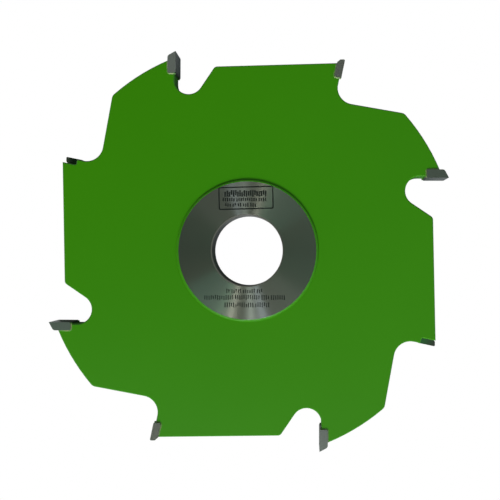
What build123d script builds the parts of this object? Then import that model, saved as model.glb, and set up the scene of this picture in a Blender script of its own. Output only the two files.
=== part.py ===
import os
from math import acos, cos, radians, sin, tan

from build123d import *

os.makedirs("parts", exist_ok=True)

# A wood grooving cutter: a flat steel disc with a raised hub on both sides and brazed carbide tips.
# Lengths are in millimetres and angles in degrees. Z runs along the bore, and Z = 0 is the lower
# hub face. Seen from +Z the cutter turns clockwise, so every rake face looks towards smaller angles.

# Whole tool
cutting_diameter = 180.0
cutting_width = 12.0
main_teeth = 4
main_edge_angle = 19.8
scorer_lag_angle = 43.0

# Steel body
plate_thickness = 10.0
plate_edge_chamfer = 0.4
bore_diameter = 30.0
bore_chamfer = 0.4
hub_face_diameter = 58.4

# Outline of the plate, with depths measured inward from the cutting circle
land_depth = 2.1
land_corner_radius = 3.0
scorer_ramp_turn = 16.9
scorer_gullet_radius = 7.0
scorer_wall_length = 2.8
scorer_back_depth = 11.5
scorer_back_turn = 28.3
back_corner_radius = 2.0
main_ramp_turn = 36.1
main_gullet_radius = 6.2
main_wall_length = 2.7
tip_projection = 0.8

# Main tips, which cut the bottom of the groove
main_hook_angle = 19.8
main_clearance_angle = 8.0
main_tip_length = 9.2
main_tip_thickness = 3.5
main_tip_width = 11.8
main_back_radius = 1.4

# Scoring tips, which cut the sides of the groove ahead of the main tips
scorer_hook_angle = -15.5
scorer_clearance_angle = 27.0
scorer_reach = 0.4
scorer_tip_length = 7.8
scorer_tip_thickness = 3.1
scorer_tip_width = 3.0
scorer_point_radius = 0.5
scorer_back_bevel = 1.1

# Common to all tips
inner_corner_radius = 0.7
radial_relief = 1.5
tangential_relief = 2.0

# Sizes that follow from the ones above
cutting_radius = cutting_diameter / 2
scorer_radius = cutting_radius + scorer_reach
land_radius = cutting_radius - land_depth
bore_radius = bore_diameter / 2
hub_face_radius = hub_face_diameter / 2
middle_height = cutting_width / 2
hub_rise = (cutting_width - plate_thickness) / 2
plate_top = cutting_width - hub_rise
pitch = 360 / main_teeth
main_angles = [main_edge_angle + pitch * tooth for tooth in range(main_teeth)]
scorer_angles = [angle + scorer_lag_angle for angle in main_angles]

middle_plane = Plane.XY.offset(middle_height)


# Each tooth has its own frame, with its origin at the cutting corner in the plane of the lower hub
# face, X outward along the rake face and Y backward, away from the cut.
def tooth_frames(tip_radius, edge_angles, hook):
    return [Rot(Z=angle) * Pos(X=tip_radius) * Rot(Z=-hook) for angle in edge_angles]


main_frames = tooth_frames(cutting_radius, main_angles, main_hook_angle)
scorer_frames = tooth_frames(scorer_radius, scorer_angles, scorer_hook_angle)


# Each straight stretch of the outline is a pair: the angle of its normal, its distance from the axis.
def wall_below_tip(tip_radius, edge_angle, hook):
    return edge_angle - hook + 90, tip_radius * sin(radians(hook)) + tip_projection


# The ramp of a gullet runs into its round floor, which starts where the bare wall below the tip ends.
def ramp_of_gullet(frame, normal_angle, wall_end, floor_radius):
    floor_centre = frame * Pos(X=-wall_end, Y=tip_projection - floor_radius)
    normal = Vector(1, 0).rotate(Axis.Z, normal_angle)
    return normal_angle, floor_centre.position.dot(normal) - floor_radius


def meeting_point(first, second):
    first_angle, second_angle = radians(first[0]), radians(second[0])
    x = first[1] * sin(second_angle) - second[1] * sin(first_angle)
    y = second[1] * cos(first_angle) - first[1] * cos(second_angle)
    return Vector(x, y) / sin(second_angle - first_angle)


def point_on_land(line):
    angle = radians(line[0]) - acos(line[1] / land_radius)
    return Vector(land_radius * cos(angle), land_radius * sin(angle))


def plate_outline():
    main_angle, scorer_angle = main_angles[0], scorer_angles[0]
    main_wall = wall_below_tip(cutting_radius, main_angle, main_hook_angle)
    next_wall = wall_below_tip(cutting_radius, main_angle + pitch, main_hook_angle)
    scorer_wall = wall_below_tip(scorer_radius, scorer_angle, scorer_hook_angle)
    scorer_back = (scorer_angle + scorer_back_turn, cutting_radius - scorer_back_depth)
    scorer_ramp = ramp_of_gullet(
        scorer_frames[0],
        scorer_angle + scorer_ramp_turn,
        scorer_tip_length + scorer_wall_length,
        scorer_gullet_radius,
    )
    main_ramp = ramp_of_gullet(
        main_frames[1],
        main_angle + pitch + main_ramp_turn,
        main_tip_length + main_wall_length,
        main_gullet_radius,
    )
    land_end = point_on_land(scorer_ramp)
    land = RadiusArc(point_on_land(main_wall), land_end, -land_radius)
    gullets = FilletPolyline(
        land_end,
        meeting_point(scorer_ramp, scorer_wall),
        meeting_point(scorer_wall, scorer_back),
        meeting_point(scorer_back, main_ramp),
        meeting_point(main_ramp, next_wall),
        point_on_land(next_wall),
        radius=[scorer_gullet_radius, 0, back_corner_radius, main_gullet_radius],
    )
    turns = [Rot(Z=pitch * tooth) for tooth in range(main_teeth)]
    one_pitch = [*land.edges(), *gullets.edges()]
    outline = make_face(Curve() + [turn * edge for turn in turns for edge in one_pitch])
    land_corners = [corner_at(outline, turn * Vertex(*land_end)) for turn in turns]
    return fillet(land_corners, land_corner_radius)


def corner_at(face, point):
    return face.vertices().sort_by_distance(point)[0]


# The seat of a tip is a notch in the outline, open outward and forward.
def seat(length, thickness):
    notch = Pos(X=-length) * Rectangle(2 * length, thickness, align=(Align.MIN, Align.MIN))
    return fillet(corner_at(notch, (-length, thickness)), inner_corner_radius)


def tip_face(length, thickness, back_angle):
    back = thickness / tan(radians(back_angle))
    face = make_face(Polyline((0, 0), (back, thickness), (-length, thickness), (-length, 0), close=True))
    inner_corners = [corner_at(face, (-length, thickness)), corner_at(face, (-length, 0))]
    return fillet(inner_corners, inner_corner_radius)


# The ground side of a tip falls away inward and backward from its cutting corner.
def relieved(tip, side_height):
    fall = (-tan(radians(radial_relief)), tan(radians(tangential_relief)), 1)
    return split(tip, bisect_by=Plane(origin=(0, 0, side_height), z_dir=fall), keep=Keep.BOTTOM)


def main_tip():
    face = tip_face(main_tip_length, main_tip_thickness, 90 + main_hook_angle + main_clearance_angle)
    face = fillet(corner_at(face, (0, main_tip_thickness)), main_back_radius)
    half_width = main_tip_width / 2
    half = Pos(Z=middle_height) * relieved(extrude(face, half_width), half_width)
    return half + mirror(half, about=middle_plane)


def upper_scoring_tip():
    face = tip_face(scorer_tip_length, scorer_tip_thickness, 90 + scorer_hook_angle + scorer_clearance_angle)
    face = chamfer(corner_at(face, (0, scorer_tip_thickness)), scorer_back_bevel)
    face = fillet(corner_at(face, (0, 0)), scorer_point_radius)
    tip = relieved(extrude(face, scorer_tip_width), scorer_tip_width)
    return Pos(Z=cutting_width - scorer_tip_width) * tip


def lower_scoring_tip():
    return mirror(upper_scoring_tip(), about=middle_plane)


def plate():
    main_seats = [frame * seat(main_tip_length, main_tip_thickness) for frame in main_frames]
    scorer_seats = [frame * seat(scorer_tip_length, scorer_tip_thickness) for frame in scorer_frames]
    outline = plate_outline() - main_seats - scorer_seats
    blank = Pos(Z=hub_rise) * extrude(outline, plate_thickness)
    rims = blank.edges().filter_by(Axis.Z, reverse=True)
    return chamfer(rims, plate_edge_chamfer)


# The hub is turned proud of the plate on both sides, and its rim is rounded down to the plate.
def hub():
    foot_radius = hub_face_radius + hub_rise
    top = Polyline((0, middle_height), (0, cutting_width), (hub_face_radius, cutting_width))
    flank = RadiusArc((hub_face_radius, cutting_width), (foot_radius, plate_top), hub_rise)
    foot = Polyline((foot_radius, plate_top), (foot_radius, middle_height), (0, middle_height))
    half = revolve(Plane.XZ * make_face(top + flank + foot), Axis.Z)
    return half + mirror(half, about=middle_plane)


def bore():
    standing = (Align.CENTER, Align.CENTER, Align.MIN)
    hole = Cylinder(bore_radius, cutting_width, align=standing)
    mouth = Cone(bore_radius + bore_chamfer, bore_radius, bore_chamfer, align=standing)
    return hole + mouth + mirror(mouth, about=middle_plane)


def cutter_body():
    return plate() + hub() - bore()


def export(shape, name):
    export_step(shape, os.path.join("parts", name + ".step"))


export(cutter_body(), "cutter_body")

for number, frame in enumerate(main_frames, start=1):
    export(frame * main_tip(), f"main_tip_{number}")

# Every other scoring tip lies at the upper side, and those between them at the lower side.
for number, frame in enumerate(scorer_frames[0::2], start=1):
    export(frame * upper_scoring_tip(), f"upper_scoring_tip_{number}")

for number, frame in enumerate(scorer_frames[1::2], start=1):
    export(frame * lower_scoring_tip(), f"lower_scoring_tip_{number}")
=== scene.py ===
import random
from math import cos, radians, sin

import bmesh
import bpy
from mathutils import Matrix, Vector


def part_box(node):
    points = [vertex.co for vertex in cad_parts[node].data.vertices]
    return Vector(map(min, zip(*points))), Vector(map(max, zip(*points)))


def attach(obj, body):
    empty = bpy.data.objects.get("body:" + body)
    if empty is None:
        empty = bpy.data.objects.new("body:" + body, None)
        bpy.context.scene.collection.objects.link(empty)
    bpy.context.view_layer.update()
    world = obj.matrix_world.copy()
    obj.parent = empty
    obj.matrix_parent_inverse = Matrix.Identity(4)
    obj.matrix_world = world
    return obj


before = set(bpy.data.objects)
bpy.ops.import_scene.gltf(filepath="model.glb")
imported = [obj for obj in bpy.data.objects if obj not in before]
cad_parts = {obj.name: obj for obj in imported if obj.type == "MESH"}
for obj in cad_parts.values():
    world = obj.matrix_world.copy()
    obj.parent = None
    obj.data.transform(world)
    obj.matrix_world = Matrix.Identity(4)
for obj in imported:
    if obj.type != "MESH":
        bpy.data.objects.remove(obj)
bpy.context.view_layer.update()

# The body is one disc of tool steel, turned and milled, with its hub proud of the plate on both
# sides. It is powder coated in a satin green, apart from the hub faces and the bore, which are
# machined after the coat and stay bare.
millimetre = 0.001
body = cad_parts["cutter_body"]
body_low, body_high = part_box("cutter_body")
hub_top = body_high.z
hub_bottom = body_low.z
hub_face_radius = 29.2 * millimetre
bore_radius = 15.0 * millimetre
bore_chamfer = 0.4 * millimetre

coat_green = "367F04"
coat_shade = "337B03"
coat_roughness = 0.34
coat_ior = 1.5
coat_specular = 0.2
orange_peel_size = 1.6 * millimetre
orange_peel_depth = 0.004 * millimetre
coat_cloud_size = 45 * millimetre

steel_colour = "8F9889"
steel_shade = "899283"
steel_roughness = 0.25
groove_depth = 0.0025 * millimetre
bore_colour = "6C6D64"
bore_least_roughness = 0.28
bore_most_roughness = 0.42

# A cutting tool leaves its grooves a tenth of a millimetre apart or less. That is too fine to show
# in the picture, so they are drawn as far apart as they have to be to show.
groove_spacing = 0.9 * millimetre
bore_line_spacing = 0.5 * millimetre

# A mix has a set of sockets for each kind of value. These are the ones for its two colours and for
# the colour that it gives.
mix_first, mix_second, mix_result = 6, 7, 2


def linear(hex_colour):
    channels = [int(hex_colour[i:i + 2], 16) / 255 for i in (0, 2, 4)]
    return [c / 12.92 if c <= 0.04045 else ((c + 0.055) / 1.055) ** 2.4 for c in channels] + [1]


# A setting goes to the node's socket of that name or number, or else to the node itself.
def add_node(tree, kind, settings=None, links=None):
    node = tree.nodes.new(kind)
    for name, value in (settings or {}).items():
        if isinstance(name, int) or name in node.inputs:
            node.inputs[name].default_value = value
        else:
            setattr(node, name, value)
    for name, source in (links or {}).items():
        tree.links.new(source, node.inputs[name])
    return node


def make_material(name, finish, *details):
    material = bpy.data.materials.new(name)
    material.use_nodes = True
    tree = material.node_tree
    tree.nodes.clear()
    place = add_node(tree, "ShaderNodeTexCoord").outputs["Object"]
    surface = finish(tree, place, *details)
    add_node(tree, "ShaderNodeOutputMaterial", None, {"Surface": surface.outputs[0]})
    return material


# Polyester powder, melted on in an oven: an even satin green over which the light spreads softly.
# Its orange peel breaks up the highlights, and its tone drifts a little in broad clouds.
def powder_coat(tree, place):
    cloud = add_node(
        tree, "ShaderNodeTexNoise",
        {"Scale": 1 / coat_cloud_size, "Detail": 2.0},
        {"Vector": place},
    )
    colour = add_node(
        tree, "ShaderNodeMix",
        {"data_type": "RGBA", mix_first: linear(coat_shade), mix_second: linear(coat_green)},
        {0: cloud.outputs["Fac"]},
    )
    peel = add_node(
        tree, "ShaderNodeTexNoise",
        {"Scale": 1 / orange_peel_size, "Detail": 1.0},
        {"Vector": place},
    )
    bump = add_node(
        tree, "ShaderNodeBump",
        {"Strength": 1.0, "Distance": orange_peel_depth},
        {"Height": peel.outputs["Fac"]},
    )
    return add_node(
        tree, "ShaderNodeBsdfPrincipled",
        {"Roughness": coat_roughness, "IOR": coat_ior, "Specular IOR Level": coat_specular},
        {"Base Color": colour.outputs[mix_result], "Normal": bump.outputs["Normal"]},
    )


# The distance from the axis of the bore, and the direction straight away from it.
def away_from_axis(tree, place):
    flat = add_node(
        tree, "ShaderNodeVectorMath", {"operation": "MULTIPLY", 1: (1, 1, 0)}, {0: place}
    ).outputs[0]
    radius = add_node(tree, "ShaderNodeVectorMath", {"operation": "LENGTH"}, {0: flat})
    outward = add_node(tree, "ShaderNodeVectorMath", {"operation": "NORMALIZE"}, {0: flat})
    return radius.outputs["Value"], outward.outputs[0]


# Turned steel is bright and bare. The fine grooves that run round its axis draw each light out
# into a streak from the bore to the rim, and make thin rings of slightly different tone.
def turned_steel(tree, place):
    radius, outward = away_from_axis(tree, place)
    grooves = add_node(
        tree, "ShaderNodeTexNoise",
        {"noise_dimensions": "1D", "Scale": 1 / groove_spacing, "Detail": 3.0},
        {"W": radius},
    )
    bump = add_node(
        tree, "ShaderNodeBump",
        {"Strength": 1.0, "Distance": groove_depth},
        {"Height": grooves.outputs["Fac"]},
    )
    colour = add_node(
        tree, "ShaderNodeMix",
        {"data_type": "RGBA", mix_first: linear(steel_shade), mix_second: linear(steel_colour)},
        {0: grooves.outputs["Fac"]},
    )
    return add_node(
        tree, "ShaderNodeBsdfPrincipled",
        {"Metallic": 1.0, "Roughness": steel_roughness, "Anisotropic": 1.0},
        {
            "Base Color": colour.outputs[mix_result],
            "Normal": bump.outputs["Normal"],
            "Tangent": outward,
        },
    )


# Bored steel is as bare, but duller. The lines that the boring tool leaves lie one above the other
# down the wall, and show as bands of more and less gloss.
def bored_steel(tree, place):
    height = add_node(tree, "ShaderNodeSeparateXYZ", None, {0: place}).outputs["Z"]
    lines = add_node(
        tree, "ShaderNodeTexNoise",
        {"noise_dimensions": "1D", "Scale": 1 / bore_line_spacing, "Detail": 2.0},
        {"W": height},
    )
    rough = add_node(
        tree, "ShaderNodeMapRange",
        {"To Min": bore_least_roughness, "To Max": bore_most_roughness},
        {"Value": lines.outputs["Fac"]},
    )
    return add_node(
        tree, "ShaderNodeBsdfPrincipled",
        {"Metallic": 1.0, "Base Color": linear(bore_colour)},
        {"Roughness": rough.outputs["Result"]},
    )


body.data.materials.clear()
body.data.materials.append(make_material("green_powder_coat", powder_coat))
body.data.materials.append(make_material("turned_tool_steel", turned_steel))
body.data.materials.append(make_material("bored_tool_steel", bored_steel))

# Its faces are told apart by how far they reach from the axis and by whether they lie level.
coated, turned, bored = range(3)
reach_margin = 0.1 * millimetre
level_normal = 0.99
for face in body.data.polygons:
    reach = max(body.data.vertices[i].co.xy.length for i in face.vertices) - reach_margin
    if reach < bore_radius + bore_chamfer:
        face.material_index = bored
    elif reach < hub_face_radius and abs(face.normal.z) > level_normal:
        face.material_index = turned
    else:
        face.material_index = coated

# The hub face carries laser marks of no meaning: a framed field above the bore and three rows
# below it, each row made of hatched bars. The laser only darkens the turned steel, so the marks
# stand proud of it by a hair, and reach as far into it.
mark_thickness = 0.02 * millimetre
field_centre = Vector((-0.5, 22.2, 0)) * millimetre
field_width = 23.3 * millimetre
field_height = 9.7 * millimetre
field_corner_radius = 0.9 * millimetre
field_line_width = 0.5 * millimetre
field_turn_degrees = 1.3
bar_gap = 1.3 * millimetre
shortest_stroke = 0.7
hatch_seed = 4

# Finer hatching would run together in the picture, so it is drawn as coarse as this.
hatch_spacing = 0.9 * millimetre

# Each row gives its left end, the height of its middle line, the height and the width of its
# strokes, and the lengths of its bars, all in millimetres.
field_rows = [
    (-9.3, 24.1, 2.7, 0.64, (17.6,)),
    (-10.1, 21.5, 1.6, 0.5, (5.2, 8.6, 3.4)),
    (-9.0, 19.3, 1.7, 0.5, (2.4, 2.2, 2.2, 3.0, 3.0)),
]
lower_rows = [
    (-8.6, -17.05, 1.9, 0.38, (1.6, 4.4, 5.2, 3.1)),
    (-17.9, -19.8, 2.1, 0.38, (12.4, 10.4, 3.6, 6.6)),
    (-9.3, -22.9, 2.1, 0.38, (13.0, 6.3)),
]

mark_colour = "161B18"
mark_specular = 0.1
mark_ior = 1.5
mark_least_roughness = 0.7
mark_most_roughness = 0.9

# The laser's dots are a few hundredths of a millimetre wide. Their grain is drawn coarser to show.
mark_grain = 0.6 * millimetre

corner_segments = 5


# A grid of one square, half a metre from its middle to its sides, is scaled to the rectangle.
def add_rectangle(shape, centre, width, height):
    corners = bmesh.ops.create_grid(shape, x_segments=1, y_segments=1, size=0.5)["verts"]
    bmesh.ops.scale(shape, vec=(width, height, 1), verts=corners)
    bmesh.ops.translate(shape, vec=centre, verts=corners)
    return corners


def round_corners(shape, corners, radius):
    return bmesh.ops.bevel(
        shape, geom=corners, offset=radius, affect="VERTICES",
        segments=corner_segments, profile=0.5, material=-1,
    )["verts"]


# Gives flat faces a thickness upward, and returns the faces at its top.
def thicken(shape, faces, thickness):
    raised = bmesh.ops.extrude_face_region(shape, geom=faces)["geom"]
    top_corners = [part for part in raised if isinstance(part, bmesh.types.BMVert)]
    bmesh.ops.translate(shape, vec=(0, 0, thickness), verts=top_corners)
    return [part for part in raised if isinstance(part, bmesh.types.BMFace)]


def add_object(name, shape, material):
    mesh = bpy.data.meshes.new(name)
    shape.to_mesh(mesh)
    shape.free()
    mesh.materials.append(material)
    made = bpy.data.objects.new(name, mesh)
    bpy.context.scene.collection.objects.link(made)
    return made


# Steel that a laser has heated until it turned black: matt, with a fine uneven grain, so that it
# stays dark where the steel round it mirrors a light.
def blackened_steel(tree, place):
    grain = add_node(
        tree, "ShaderNodeTexNoise",
        {"Scale": 1 / mark_grain, "Detail": 2.0},
        {"Vector": place},
    )
    rough = add_node(
        tree, "ShaderNodeMapRange",
        {"To Min": mark_least_roughness, "To Max": mark_most_roughness},
        {"Value": grain.outputs["Fac"]},
    )
    return add_node(
        tree, "ShaderNodeBsdfPrincipled",
        {"Base Color": linear(mark_colour), "IOR": mark_ior, "Specular IOR Level": mark_specular},
        {"Roughness": rough.outputs["Result"]},
    )


marks = bmesh.new()
field_corners = add_rectangle(marks, (0, 0, 0), field_width, field_height)
round_corners(marks, field_corners, field_corner_radius)
inside = marks.faces[:]
bmesh.ops.inset_region(
    marks, faces=inside, thickness=field_line_width, use_boundary=True, use_even_offset=True
)
bmesh.ops.delete(marks, geom=inside, context="FACES")
field_turn = Matrix.Rotation(radians(field_turn_degrees), 4, "Z")
bmesh.ops.rotate(marks, matrix=field_turn, verts=marks.verts)
bmesh.ops.translate(marks, vec=field_centre, verts=marks.verts)

# A stroke that is shorter than its bar is high stands at the foot, the middle or the head of it.
dice = random.Random(hatch_seed)
for left, middle, height, stroke_width, bars in field_rows + lower_rows:
    x = left * millimetre
    for bar in bars:
        for _ in range(round(bar * millimetre / hatch_spacing)):
            shorter = dice.uniform(shortest_stroke, 1.0)
            shift = dice.choice((-0.5, 0, 0.5)) * (1 - shorter)
            stroke_centre = (x, (middle + shift * height) * millimetre, 0)
            add_rectangle(
                marks, stroke_centre, stroke_width * millimetre, height * shorter * millimetre
            )
            x += hatch_spacing
        x += bar_gap - hatch_spacing

bmesh.ops.translate(marks, vec=(0, 0, hub_top - mark_thickness), verts=marks.verts)
thicken(marks, marks.faces[:], 2 * mark_thickness)
bmesh.ops.recalc_face_normals(marks, faces=marks.faces)
hub_marks = add_object(
    "hub_marks", marks, make_material("laser_blackened_steel", blackened_steel)
)
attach(hub_marks, "root")

# The tips are sintered tungsten carbide, brazed into their seats in the body. A diamond wheel has
# ground their upper and lower sides and lapped the faces round their edges. The inner sides of the
# scoring tips, which the wheel doesn't reach, stay as they came out of the furnace.
main_tip_colour = "7E857A"
main_tip_shade = "757C71"
main_tip_roughness = 0.42
scoring_tip_colour = "6D6F67"
scoring_tip_shade = "65675F"
scoring_tip_roughness = 0.6
ground_anisotropy = 0.8
carbide_metallic = 0.9

lapped_colour = "6A6F69"
lapped_least_roughness = 0.22
lapped_most_roughness = 0.38

sintered_colour = "2E2E28"
sintered_roughness = 0.7
sintered_ior = 1.5
sintered_specular = 0.2
overspray_colour = "1E5C2A"
overspray_start = 82 * millimetre
overspray_end = 89 * millimetre
overspray_at_start = 1.0
overspray_at_end = 0.1

# The grit of the wheel is a few hundredths of a millimetre. Its lines are drawn coarser to show.
grinding_line_spacing = 0.6 * millimetre


# Ground carbide is a soft greenish grey, between metal and stone. Its lines run round the axis, as
# on the hub, and spread each light into a wide streak. The main tips are finer ground and paler.
def ground_carbide(tree, place, colour_hex, shade_hex, roughness):
    radius, outward = away_from_axis(tree, place)
    lines = add_node(
        tree, "ShaderNodeTexNoise",
        {"noise_dimensions": "1D", "Scale": 1 / grinding_line_spacing, "Detail": 3.0},
        {"W": radius},
    )
    colour = add_node(
        tree, "ShaderNodeMix",
        {"data_type": "RGBA", mix_first: linear(shade_hex), mix_second: linear(colour_hex)},
        {0: lines.outputs["Fac"]},
    )
    return add_node(
        tree, "ShaderNodeBsdfPrincipled",
        {
            "Metallic": carbide_metallic,
            "Roughness": roughness,
            "Anisotropic": ground_anisotropy,
        },
        {"Base Color": colour.outputs[mix_result], "Tangent": outward},
    )


# Lapped carbide has no lines: it is smoother, and mirrors the room darkly in patches of more and
# less gloss.
def lapped_carbide(tree, place):
    grit = add_node(
        tree, "ShaderNodeTexNoise",
        {"Scale": 1 / grinding_line_spacing, "Detail": 2.0},
        {"Vector": place},
    )
    rough = add_node(
        tree, "ShaderNodeMapRange",
        {"To Min": lapped_least_roughness, "To Max": lapped_most_roughness},
        {"Value": grit.outputs["Fac"]},
    )
    return add_node(
        tree, "ShaderNodeBsdfPrincipled",
        {"Metallic": carbide_metallic, "Base Color": linear(lapped_colour)},
        {"Roughness": rough.outputs["Result"]},
    )


# Carbide as sintered is dull and nearly black. A breath of the green coat lies on it, thick near
# the body and thin towards the cutting corner.
def sintered_carbide(tree, place):
    radius, _ = away_from_axis(tree, place)
    dusted = add_node(
        tree, "ShaderNodeMapRange",
        {
            "From Min": overspray_start,
            "From Max": overspray_end,
            "To Min": overspray_at_start,
            "To Max": overspray_at_end,
        },
        {"Value": radius},
    )
    colour = add_node(
        tree, "ShaderNodeMix",
        {
            "data_type": "RGBA",
            mix_first: linear(sintered_colour),
            mix_second: linear(overspray_colour),
        },
        {0: dusted.outputs["Result"]},
    )
    return add_node(
        tree, "ShaderNodeBsdfPrincipled",
        {
            "Roughness": sintered_roughness,
            "IOR": sintered_ior,
            "Specular IOR Level": sintered_specular,
        },
        {"Base Color": colour.outputs[mix_result]},
    )


main_ground = make_material(
    "fine_ground_tungsten_carbide", ground_carbide,
    main_tip_colour, main_tip_shade, main_tip_roughness,
)
scoring_ground = make_material(
    "ground_tungsten_carbide", ground_carbide,
    scoring_tip_colour, scoring_tip_shade, scoring_tip_roughness,
)
all_lapped = make_material("lapped_tungsten_carbide", lapped_carbide)
all_sintered = make_material("sintered_tungsten_carbide", sintered_carbide)

# The inner side faces down on an upper scoring tip and up on a lower one. A main tip has none.
inner_sides = {"upper": -1, "lower": 1, "main": 0}
ground, lapped, sintered = range(3)
for name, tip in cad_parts.items():
    if "_tip_" not in name:
        continue
    kind = name.split("_")[0]
    tip.data.materials.clear()
    for finish in (main_ground if kind == "main" else scoring_ground, all_lapped, all_sintered):
        tip.data.materials.append(finish)
    for face in tip.data.polygons:
        if face.normal.z * inner_sides[kind] > level_normal:
            face.material_index = sintered
        elif abs(face.normal.z) > level_normal:
            face.material_index = ground
        else:
            face.material_index = lapped

# The tips are held by silver solder. It fills the chamfer of the seat round each tip's back and
# inner end, and slopes up as a small fillet against the side of the tip, which stands proud of the
# plate. The green coat was sprayed over it and is thin there.
hub_rise = 1.0 * millimetre
plate_top = hub_top - hub_rise
plate_bottom = hub_bottom + hub_rise
seat_chamfer = 0.4 * millimetre
fillet_width = 0.46 * millimetre
fillet_height = 0.34 * millimetre
fillet_corner_radius = 1.1 * millimetre
rake_face_gap = 0.2 * millimetre

# The fillet slopes up in steps, each inward by a share of its width and up by a share of its
# height. The last tenth of the width is level.
fillet_steps = ((0.25, 0.25), (0.2, 0.25), (0.45, 0.5))

# The reach of a tip is how far its cutting corner lies from the axis, its angle is that of the
# first tooth of its kind, and its edge depth is how far inward of the corner the plate's edge lies,
# where the fillet ends. Lengths are in millimetres and angles in degrees.
main_tip = {
    "reach": 90.0, "angle": 19.8, "hook": 19.8,
    "length": 9.2, "thickness": 3.5, "edge_depth": 4.0,
}
scoring_tip = {
    "reach": 90.4, "angle": 62.8, "hook": -15.5,
    "length": 7.8, "thickness": 3.1, "edge_depth": 2.4,
}
pitch_degrees = 90
upper, lower = 1, -1

solder_colour = "83875A"
thin_coat_colour = "41791F"
solder_roughness = 0.4
solder_ior = 1.5
solder_specular = 0.4
wear_patch_size = 1.2 * millimetre
wear_start = 0.4
wear_end = 0.7


# Silver solder is a pale yellow metal. Where the thin coat on it has worn, it shows as patches of
# olive grey in the green, with a soft gloss all over.
def coated_solder(tree, place):
    patches = add_node(
        tree, "ShaderNodeTexNoise",
        {"Scale": 1 / wear_patch_size, "Detail": 2.0},
        {"Vector": place},
    )
    worn = add_node(
        tree, "ShaderNodeMapRange",
        {"From Min": wear_start, "From Max": wear_end},
        {"Value": patches.outputs["Fac"]},
    )
    colour = add_node(
        tree, "ShaderNodeMix",
        {
            "data_type": "RGBA",
            mix_first: linear(thin_coat_colour),
            mix_second: linear(solder_colour),
        },
        {0: worn.outputs["Result"]},
    )
    return add_node(
        tree, "ShaderNodeBsdfPrincipled",
        {"Roughness": solder_roughness, "IOR": solder_ior, "Specular IOR Level": solder_specular},
        {"Base Color": colour.outputs[mix_result]},
    )


# A fillet is made flat in the frame of its tooth, with the cutting corner at the origin, X outward
# along the rake face and Y backward. Then it goes to its tooth, mirrored for the lower side.
def add_fillet(solder, tip, tooth, side):
    earlier = set(solder.verts)
    inner_end = -tip["length"] * millimetre - fillet_width
    outer_end = -tip["edge_depth"] * millimetre
    back = tip["thickness"] * millimetre + fillet_width
    foot_centre = ((inner_end + outer_end) / 2, (rake_face_gap + back) / 2, -seat_chamfer)
    foot = add_rectangle(solder, foot_centre, outer_end - inner_end, back - rake_face_gap)
    inner_corner = min(foot, key=lambda corner: corner.co.x - corner.co.y)
    rounded = round_corners(solder, [inner_corner], fillet_corner_radius)
    crest = thicken(solder, rounded[0].link_faces[:], seat_chamfer)
    for inward, rise in fillet_steps:
        bmesh.ops.inset_region(
            solder, faces=crest, use_even_offset=True,
            thickness=inward * fillet_width, depth=rise * fillet_height,
        )
    to_tooth = (
        Matrix.Rotation(radians(tip["angle"] + pitch_degrees * tooth), 4, "Z")
        @ Matrix.Translation((tip["reach"] * millimetre, 0, 0))
        @ Matrix.Rotation(radians(-tip["hook"]), 4, "Z")
        @ Matrix.Translation((0, 0, plate_top if side == upper else plate_bottom))
        @ Matrix.Diagonal((1, 1, side, 1))
    )
    added = [corner for corner in solder.verts if corner not in earlier]
    bmesh.ops.transform(solder, matrix=to_tooth, verts=added)


solder = bmesh.new()
for tip, teeth, sides in (
    (main_tip, (0, 1, 2, 3), (upper, lower)),
    (scoring_tip, (0, 2), (upper,)),
    (scoring_tip, (1, 3), (lower,)),
):
    for tooth in teeth:
        for side in sides:
            add_fillet(solder, tip, tooth, side)
bmesh.ops.recalc_face_normals(solder, faces=solder.faces)
solder_fillets = add_object(
    "solder_fillets", solder, make_material("coated_silver_solder", coated_solder)
)
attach(solder_fillets, "root")

# The floor is a plain sheet of white paper, far wider than the cutter. The lens, and a bright face
# that mirrors it from afar, see it as pure white. Close to the cutter it keeps its shadow, both
# for the bare metal and for the light that it throws back, which is that of a light grey.
floor_size = 3.0
floor_gap = 0.05 * millimetre
paper_grey = "A4A4A4"
shadow_reach = 0.13
white = (1, 1, 1, 1)


# How far a ray sees white: fully if it comes from the lens, and by the share that the mask gives if
# it comes from metal or glass.
def seen_as_white(tree, mask):
    rays = add_node(tree, "ShaderNodeLightPath").outputs
    mirrored = add_node(
        tree, "ShaderNodeMath",
        {"operation": "MAXIMUM"},
        {0: rays["Is Glossy Ray"], 1: rays["Is Transmission Ray"]},
    )
    masked = add_node(
        tree, "ShaderNodeMath", {"operation": "MULTIPLY"}, {0: mirrored.outputs[0], 1: mask}
    )
    return add_node(
        tree, "ShaderNodeMath",
        {"operation": "MAXIMUM"},
        {0: rays["Is Camera Ray"], 1: masked.outputs[0]},
    ).outputs[0]


# Matt paper, lit evenly: it has no gloss, and is so fine that no fibre shows.
def matt_paper(tree, place):
    distance = add_node(tree, "ShaderNodeVectorMath", {"operation": "LENGTH"}, {0: place})
    afar = add_node(
        tree, "ShaderNodeMath",
        {"operation": "GREATER_THAN", 1: shadow_reach},
        {0: distance.outputs["Value"]},
    )
    paper = add_node(tree, "ShaderNodeBsdfDiffuse", {"Color": linear(paper_grey)})
    glow = add_node(tree, "ShaderNodeEmission", {"Color": white, "Strength": 1.0})
    return add_node(
        tree, "ShaderNodeMixShader", None,
        {0: seen_as_white(tree, afar.outputs[0]), 1: paper.outputs[0], 2: glow.outputs[0]},
    )


sheet = bmesh.new()
add_rectangle(sheet, (0, 0, -floor_gap), floor_size, floor_size)
add_object("floor", sheet, make_material("white_paper", matt_paper))

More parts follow.
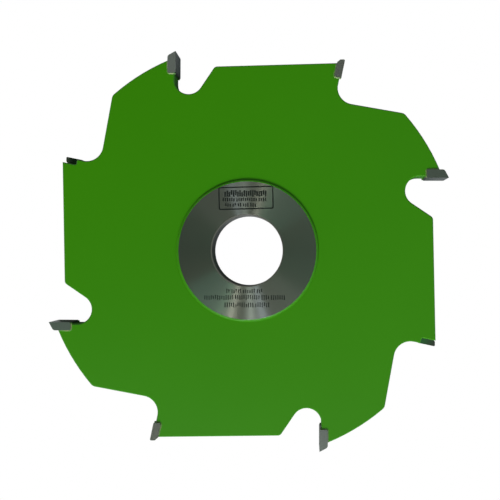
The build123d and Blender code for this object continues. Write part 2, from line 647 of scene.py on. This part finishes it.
# The room is dim all round, and brighter only towards the ceiling at the right and the wall of
# windows below the picture. At the horizon it goes over into the white of the paper for a face
# that mirrors it. The lens sees it white all over.
room_glow = 0.055
window_wall_glow = 0.67
window_wall_direction = (0, -1, 0)
ceiling_glow = 0.4
ceiling_direction = (0.8, 0, 0.6)
ceiling_edge = 0.45
ceiling_tint = "C4FFF0"
shade_tint = "FFF9EE"
horizon_fade_start = 0.15
horizon_fade_end = 0.65

world = bpy.data.worlds.new("dim_room")
bpy.context.scene.world = world
world.use_nodes = True
room = world.node_tree
room.nodes.clear()
direction = add_node(room, "ShaderNodeTexCoord").outputs["Generated"]
towards_windows = add_node(
    room, "ShaderNodeVectorMath",
    {"operation": "DOT_PRODUCT", 1: window_wall_direction},
    {0: direction},
)
wall = add_node(
    room, "ShaderNodeMapRange",
    {"From Min": 0.0, "From Max": 1.0, "To Min": room_glow, "To Max": window_wall_glow},
    {"Value": towards_windows.outputs["Value"]},
)
towards_ceiling = add_node(
    room, "ShaderNodeVectorMath",
    {"operation": "DOT_PRODUCT", 1: ceiling_direction},
    {0: direction},
)
ceiling = add_node(
    room, "ShaderNodeMapRange",
    {"From Min": ceiling_edge, "From Max": 1.0},
    {"Value": towards_ceiling.outputs["Value"]},
)
glow = add_node(
    room, "ShaderNodeMath",
    {"operation": "MULTIPLY_ADD", 1: ceiling_glow},
    {0: ceiling.outputs["Result"], 2: wall.outputs["Result"]},
)
tint = add_node(
    room, "ShaderNodeMix",
    {"data_type": "RGBA", mix_first: linear(shade_tint), mix_second: linear(ceiling_tint)},
    {0: ceiling.outputs["Result"]},
)
height = add_node(room, "ShaderNodeSeparateXYZ", None, {0: direction}).outputs["Z"]
horizon = add_node(
    room, "ShaderNodeMapRange",
    {
        "From Min": horizon_fade_start,
        "From Max": horizon_fade_end,
        "To Min": 1.0,
        "To Max": 0.0,
    },
    {"Value": height},
)
dim = add_node(
    room, "ShaderNodeBackground", None,
    {"Color": tint.outputs[mix_result], "Strength": glow.outputs[0]},
)
bright = add_node(room, "ShaderNodeBackground", {"Color": white, "Strength": 1.0})
seen = add_node(
    room, "ShaderNodeMixShader", None,
    {
        0: seen_as_white(room, horizon.outputs["Result"]),
        1: dim.outputs[0],
        2: bright.outputs[0],
    },
)
add_node(room, "ShaderNodeOutputWorld", None, {"Surface": seen.outputs[0]})

# The daylight falls in from a wall of windows beyond the lower edge of the picture, as one soft key
# for the coat. Bare metal doesn't mirror the key but the parts of that wall: three narrow panes, a
# lit edge beside them, and the pale walls to the left and right, each a streak on the turned hub.
key_azimuth = 250
key_elevation = 36
key_distance = 2.4
key_size = 0.5
key_power = 17.9
key_colour = "FFFFFF"
mirrored_distance = 1.8
pane_elevation = 38
pane_height = 0.9
wall_elevation = 52
wall_size = 0.7


# Angles are in degrees, lengths in metres and powers in watts.
def add_lamp(name, azimuth, elevation, distance, width, height, power, colour, mirrored=True):
    lamp_data = bpy.data.lights.new(name, "AREA")
    lamp_data.shape = "RECTANGLE"
    lamp_data.size = width
    lamp_data.size_y = height
    lamp_data.energy = power
    lamp_data.color = linear(colour)[:3]
    lamp = bpy.data.objects.new(name, lamp_data)
    bpy.context.scene.collection.objects.link(lamp)
    turn, rise = radians(azimuth), radians(elevation)
    lamp.location = Vector((cos(turn) * cos(rise), sin(turn) * cos(rise), sin(rise))) * distance
    lamp.rotation_euler = lamp.location.to_track_quat("Z", "Y").to_euler()
    lamp.visible_glossy = mirrored


add_lamp(
    "key", key_azimuth, key_elevation, key_distance, key_size, key_size, key_power, key_colour,
    mirrored=False,
)
for name, azimuth, width, power, colour in (
    ("window_edge", 240, 0.18, 1.9, "D1FFE4"),
    ("window_left", 249, 0.035, 7.2, "FFF1F1"),
    ("window_middle", 266.5, 0.07, 8.0, "F4F6FF"),
    ("window_right", 277, 0.09, 8.9, "DCDEFA"),
):
    add_lamp(
        name, azimuth, pane_elevation, mirrored_distance, width, pane_height, power, colour
    )
for name, azimuth, power, colour in (
    ("wall_far_left", 225, 1.6, "AFFFF8"),
    ("wall_left", 240, 0.9, "EBFFFF"),
    ("wall_right", 300, 1.75, "F6ECFC"),
):
    add_lamp(
        name, azimuth, wall_elevation, mirrored_distance, wall_size, wall_size, power, colour
    )

# The camera looks down from 0.3 m above the cutter, less than two degrees off the vertical, with a
# lens a little longer than normal. The picture is a cut from a larger one, so its middle lies off
# the lens axis. All values were fitted to the tips, the plate, the hub and the bore.
image_size = 500
sensor_width = 36.0
focal_length_px = 674.6
principal_point_px = Vector((285.8, 254.3))
camera_place = Vector((0.025, -0.003, 0.296))
camera_turn_degrees = (0.28, 1.75, 0)
nearest_seen = 0.01
farthest_seen = 10

camera_data = bpy.data.cameras.new("camera")
camera_data.sensor_width = sensor_width
camera_data.lens = focal_length_px / image_size * sensor_width
camera_data.shift_x = (image_size / 2 - principal_point_px.x) / image_size
camera_data.shift_y = (principal_point_px.y - image_size / 2) / image_size
camera_data.clip_start = nearest_seen
camera_data.clip_end = farthest_seen
camera = bpy.data.objects.new("camera", camera_data)
bpy.context.scene.collection.objects.link(camera)
camera.location = camera_place
camera.rotation_euler = [radians(turn) for turn in camera_turn_degrees]
bpy.context.scene.camera = camera
bpy.context.scene.view_settings.view_transform = "Standard"
